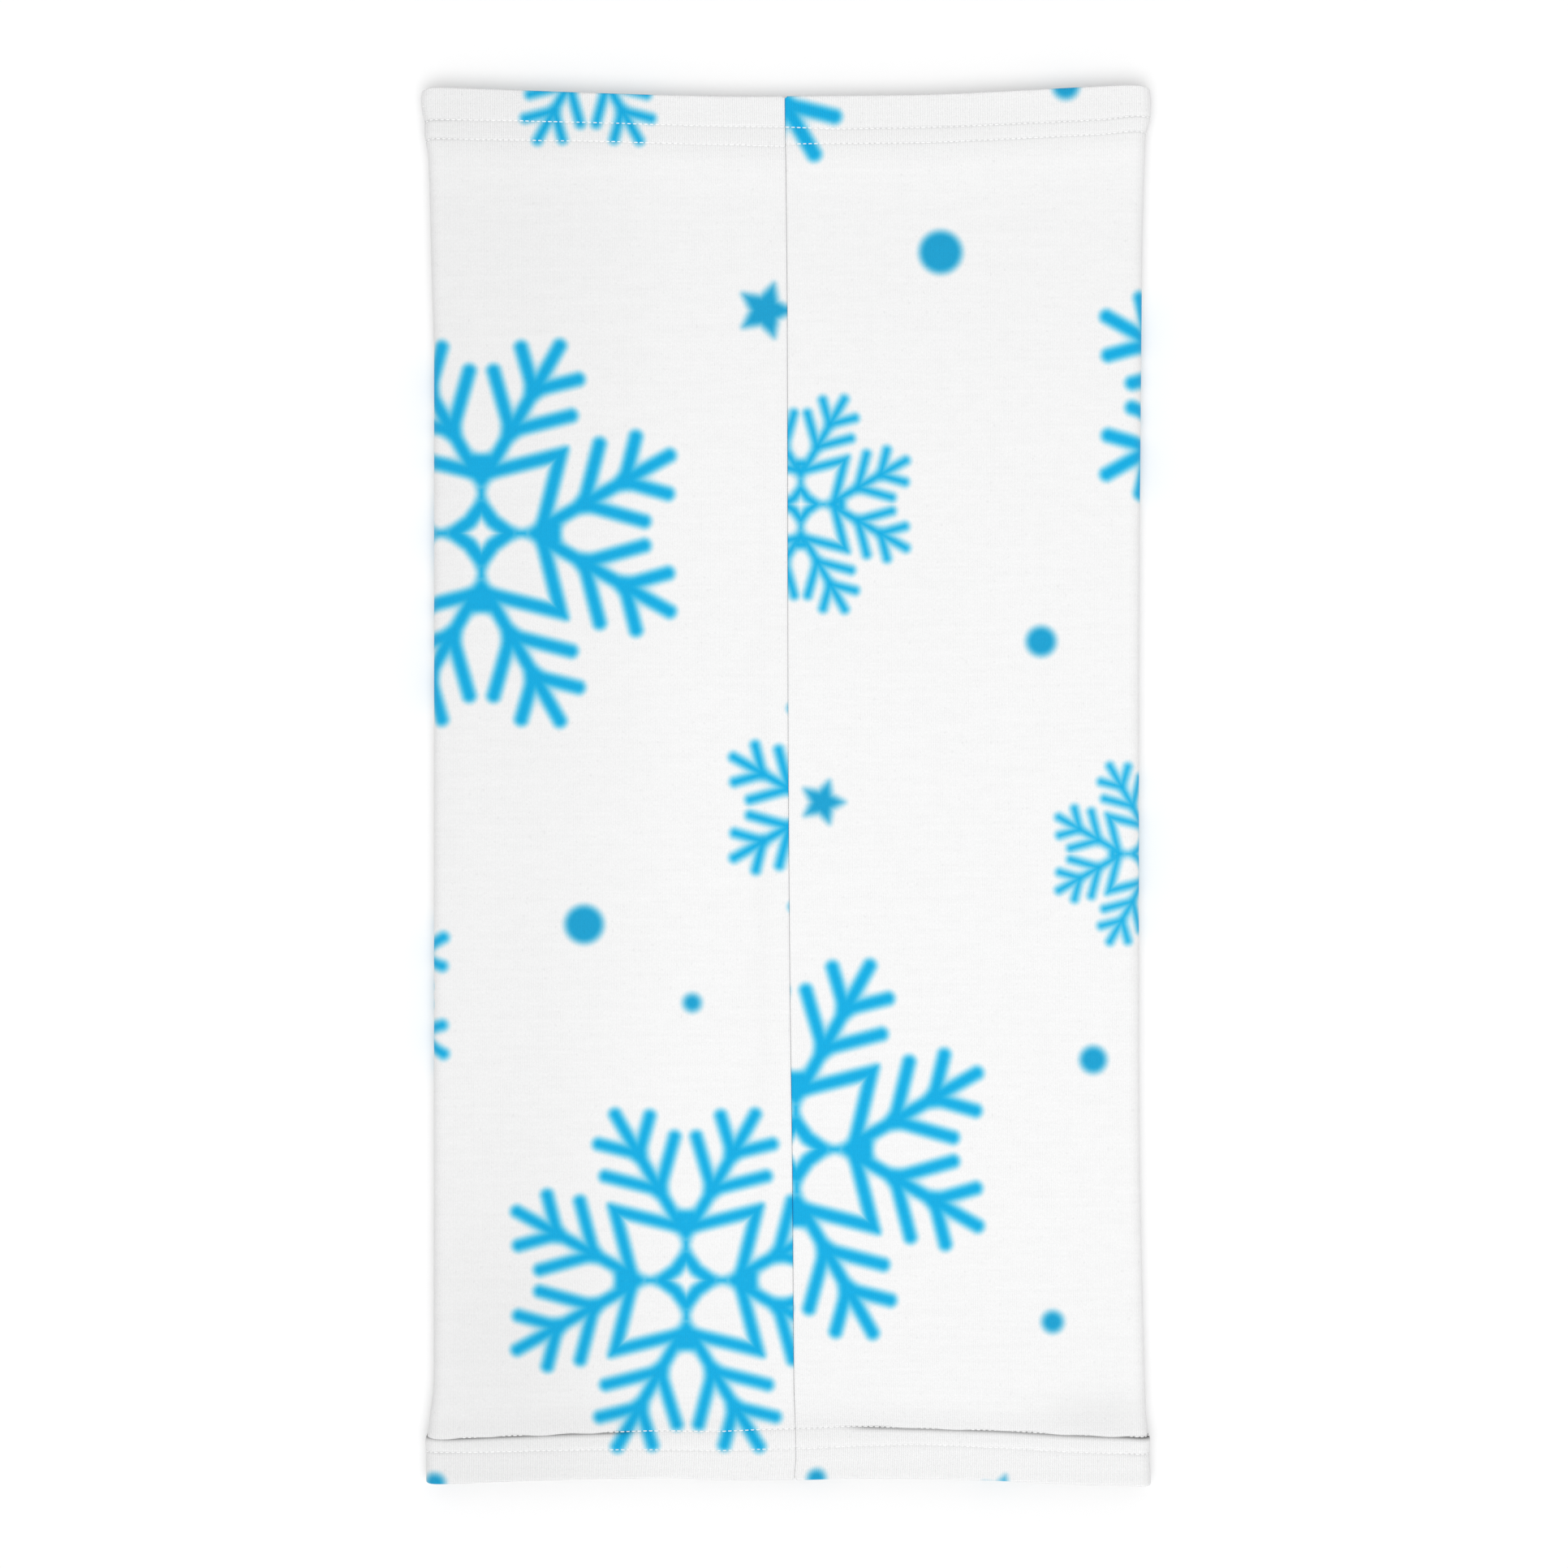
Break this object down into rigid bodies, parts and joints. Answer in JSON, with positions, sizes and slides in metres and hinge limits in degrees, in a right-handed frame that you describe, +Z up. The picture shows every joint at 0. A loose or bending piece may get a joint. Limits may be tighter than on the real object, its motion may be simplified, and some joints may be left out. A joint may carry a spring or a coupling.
{
  "type": "neck gaiter",
  "caption": "Seamed tube of printed stretch jersey with a cover-stitched hem at each end, laid flat; worn round the neck or pulled up over the face or head.",
  "frame": {"origin": "middle of the underside of the gaiter laid flat on its front, on the surface that it lies on", "axes": "+Y along the tube towards its top opening, +Z up out of the back with the seam, +X to the right of someone who looks down on the back with the top away from them"},
  "size_m": [0.258, 0.4926, 0.01],
  "materials": {
    "printed_jersey": "matte brushed polyester stretch jersey, white, with blue printed snowflakes, dots and stars",
    "sewing_thread": "white spun polyester thread",
    "looper_thread": "white textured polyester looper thread"
  },
  "bodies": {
    "root": {"knit_panel": "printed_jersey", "back_seam_first_needle_thread": "sewing_thread", "back_seam_second_needle_thread": "sewing_thread", "back_seam_upper_looper_thread": "looper_thread", "back_seam_lower_looper_thread": "looper_thread", "top_hem_outer_needle_thread": "sewing_thread", "top_hem_inner_needle_thread": "sewing_thread", "top_hem_looper_thread": "looper_thread", "bottom_hem_outer_needle_thread": "sewing_thread", "bottom_hem_inner_needle_thread": "sewing_thread", "bottom_hem_looper_thread": "looper_thread"}
  },
  "joints": []
}
